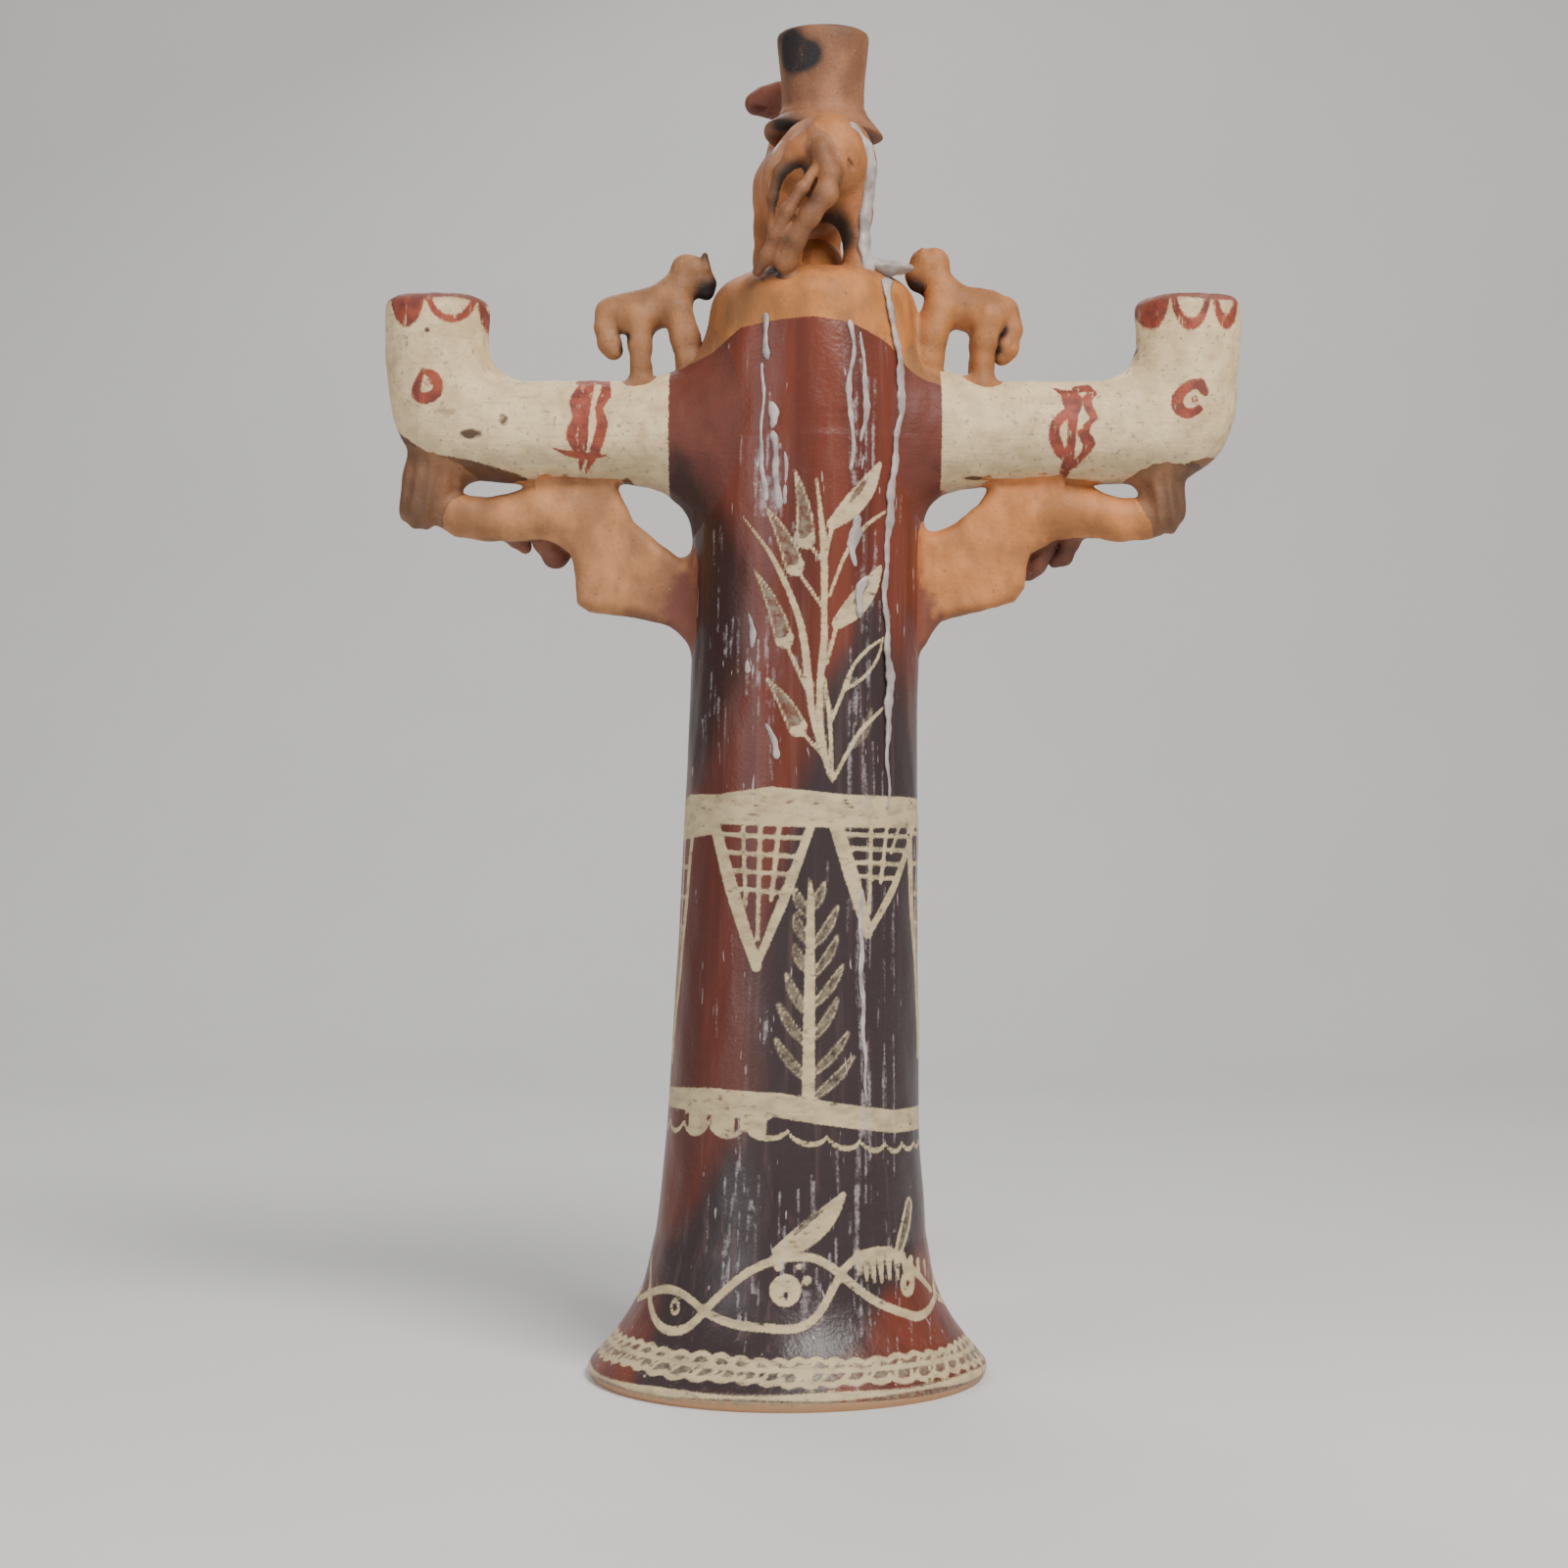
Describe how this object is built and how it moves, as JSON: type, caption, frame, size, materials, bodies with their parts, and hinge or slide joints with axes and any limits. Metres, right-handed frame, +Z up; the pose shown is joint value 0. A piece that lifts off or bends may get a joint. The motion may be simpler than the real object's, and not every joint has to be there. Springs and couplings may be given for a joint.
{
  "type": "candelabra",
  "caption": "Hand-built clay candelabra: bell-footed hollow trunk, two upturned socket arms on mermaid brackets, small animals on the arms and a larger animal carrying a candle cup.",
  "frame": {"origin": "middle of the object's box on the surface it stands on", "axes": "+Z up the trunk, the longest way; +X towards the right arm; +Y away from the side the figures turn their backs to"},
  "size_m": [0.3314, 0.154, 0.52],
  "materials": {
    "red_slip": "satin",
    "cream_slip": "matte",
    "bare_clay": "matte",
    "brown_clay": "matte",
    "dark_clay": "matte",
    "candle_wax": "satin"
  },
  "bodies": {
    "root": {"foot_bell": "red_slip", "trunk_column": "red_slip", "shoulder_dome": "bare_clay", "left_arm": "cream_slip", "right_arm": "cream_slip", "left_mermaid_tail": "bare_clay", "left_mermaid_body": "bare_clay", "left_mermaid_head": "dark_clay", "left_mermaid_arm_outer": "dark_clay", "left_mermaid_arm_inner": "dark_clay", "right_mermaid_tail": "bare_clay", "right_mermaid_body": "bare_clay", "right_mermaid_head": "dark_clay", "right_mermaid_arm_outer": "dark_clay", "right_mermaid_arm_inner": "dark_clay", "left_animal_body": "bare_clay", "left_animal_head": "brown_clay", "left_animal_tail": "brown_clay", "left_animal_leg_front_near": "bare_clay", "left_animal_leg_front_far": "bare_clay", "left_animal_leg_rear_near": "bare_clay", "left_animal_leg_rear_far": "bare_clay", "right_animal_body": "bare_clay", "right_animal_head": "brown_clay", "right_animal_tail": "brown_clay", "right_animal_leg_front_near": "bare_clay", "right_animal_leg_front_far": "bare_clay", "right_animal_leg_rear_near": "bare_clay", "right_animal_leg_rear_far": "bare_clay", "top_animal_body": "bare_clay", "top_animal_head": "red_slip", "top_animal_tail": "brown_clay", "top_animal_leg_rear_left": "bare_clay", "top_animal_leg_rear_right": "bare_clay", "top_animal_leg_front_left": "bare_clay", "top_animal_leg_front_right": "bare_clay", "cup_brim": "brown_clay", "candle_cup": "brown_clay"}
  },
  "joints": []
}
